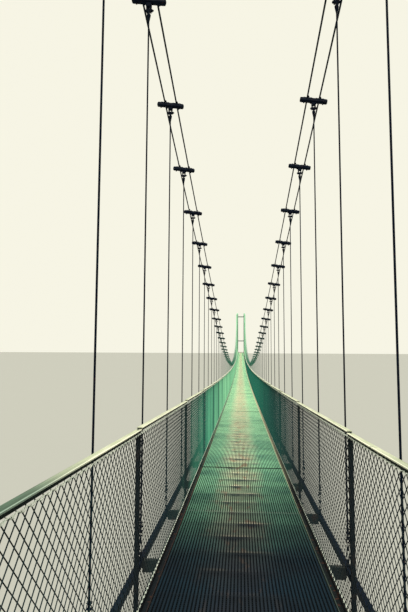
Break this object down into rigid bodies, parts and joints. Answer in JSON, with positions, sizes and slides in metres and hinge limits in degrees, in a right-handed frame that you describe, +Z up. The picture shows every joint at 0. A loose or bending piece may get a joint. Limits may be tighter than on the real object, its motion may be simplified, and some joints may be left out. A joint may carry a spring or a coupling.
{
  "type": "rope suspension footbridge, 1:10 scale model",
  "caption": "One-tenth scale model of a wire-rope suspension footbridge: paired cables and hangers carry a grated deck between netting fences, with portal towers and anchor blocks.",
  "frame": {"origin": "on the ground below mid-span, midway between the fences", "axes": "+Y along the walkway from the near tower to the far tower, +X to the right, +Z up"},
  "size_m": [0.3, 19.8, 1.3617],
  "materials": {
    "deck_grating": "worn sea-green paint on steel grating, rubbed to tan and rust down the middle",
    "fence": "dark green paint, pale and worn on top of the handrail",
    "hanger_steel": "dark weathered steel",
    "frame_steel": "dark green paint with rust at the edges",
    "wire_rope": "dull stranded wire rope",
    "tower_steel": "pale sea-green paint, weathered",
    "concrete": "weathered board-marked concrete"
  },
  "bodies": {
    "root": {"deck_grating_1": "deck_grating", "deck_grating_2": "deck_grating", "deck_grating_3": "deck_grating", "deck_grating_4": "deck_grating", "deck_grating_5": "deck_grating", "deck_grating_6": "deck_grating", "deck_grating_7": "deck_grating", "deck_grating_8": "deck_grating", "deck_grating_9": "deck_grating", "deck_grating_10": "deck_grating", "crossbeams_1": "frame_steel", "left_fence_1": "fence", "left_hangers_1": "hanger_steel", "right_fence_1": "fence", "right_hangers_1": "hanger_steel", "crossbeams_2": "frame_steel", "left_fence_2": "fence", "left_hangers_2": "hanger_steel", "right_fence_2": "fence", "right_hangers_2": "hanger_steel", "crossbeams_3": "frame_steel", "left_fence_3": "fence", "left_hangers_3": "hanger_steel", "right_fence_3": "fence", "right_hangers_3": "hanger_steel", "crossbeams_4": "frame_steel", "left_fence_4": "fence", "left_hangers_4": "hanger_steel", "right_fence_4": "fence", "right_hangers_4": "hanger_steel", "crossbeams_5": "frame_steel", "left_fence_5": "fence", "left_hangers_5": "hanger_steel", "right_fence_5": "fence", "right_hangers_5": "hanger_steel", "left_outer_cable": "wire_rope", "left_inner_cable": "wire_rope", "right_inner_cable": "wire_rope", "right_outer_cable": "wire_rope", "near_abutment": "concrete", "near_anchor_block": "concrete", "near_tower_portal_beam": "tower_steel", "near_tower_head_beam": "tower_steel", "near_left_tower_post": "tower_steel", "near_left_saddle": "frame_steel", "near_left_anchor_socket": "frame_steel", "near_right_tower_post": "tower_steel", "near_right_saddle": "frame_steel", "near_right_anchor_socket": "frame_steel", "far_abutment": "concrete", "far_anchor_block": "concrete", "far_tower_portal_beam": "tower_steel", "far_tower_head_beam": "tower_steel", "far_left_tower_post": "tower_steel", "far_left_saddle": "frame_steel", "far_left_anchor_socket": "frame_steel", "far_right_tower_post": "tower_steel", "far_right_saddle": "frame_steel", "far_right_anchor_socket": "frame_steel"}
  },
  "joints": []
}
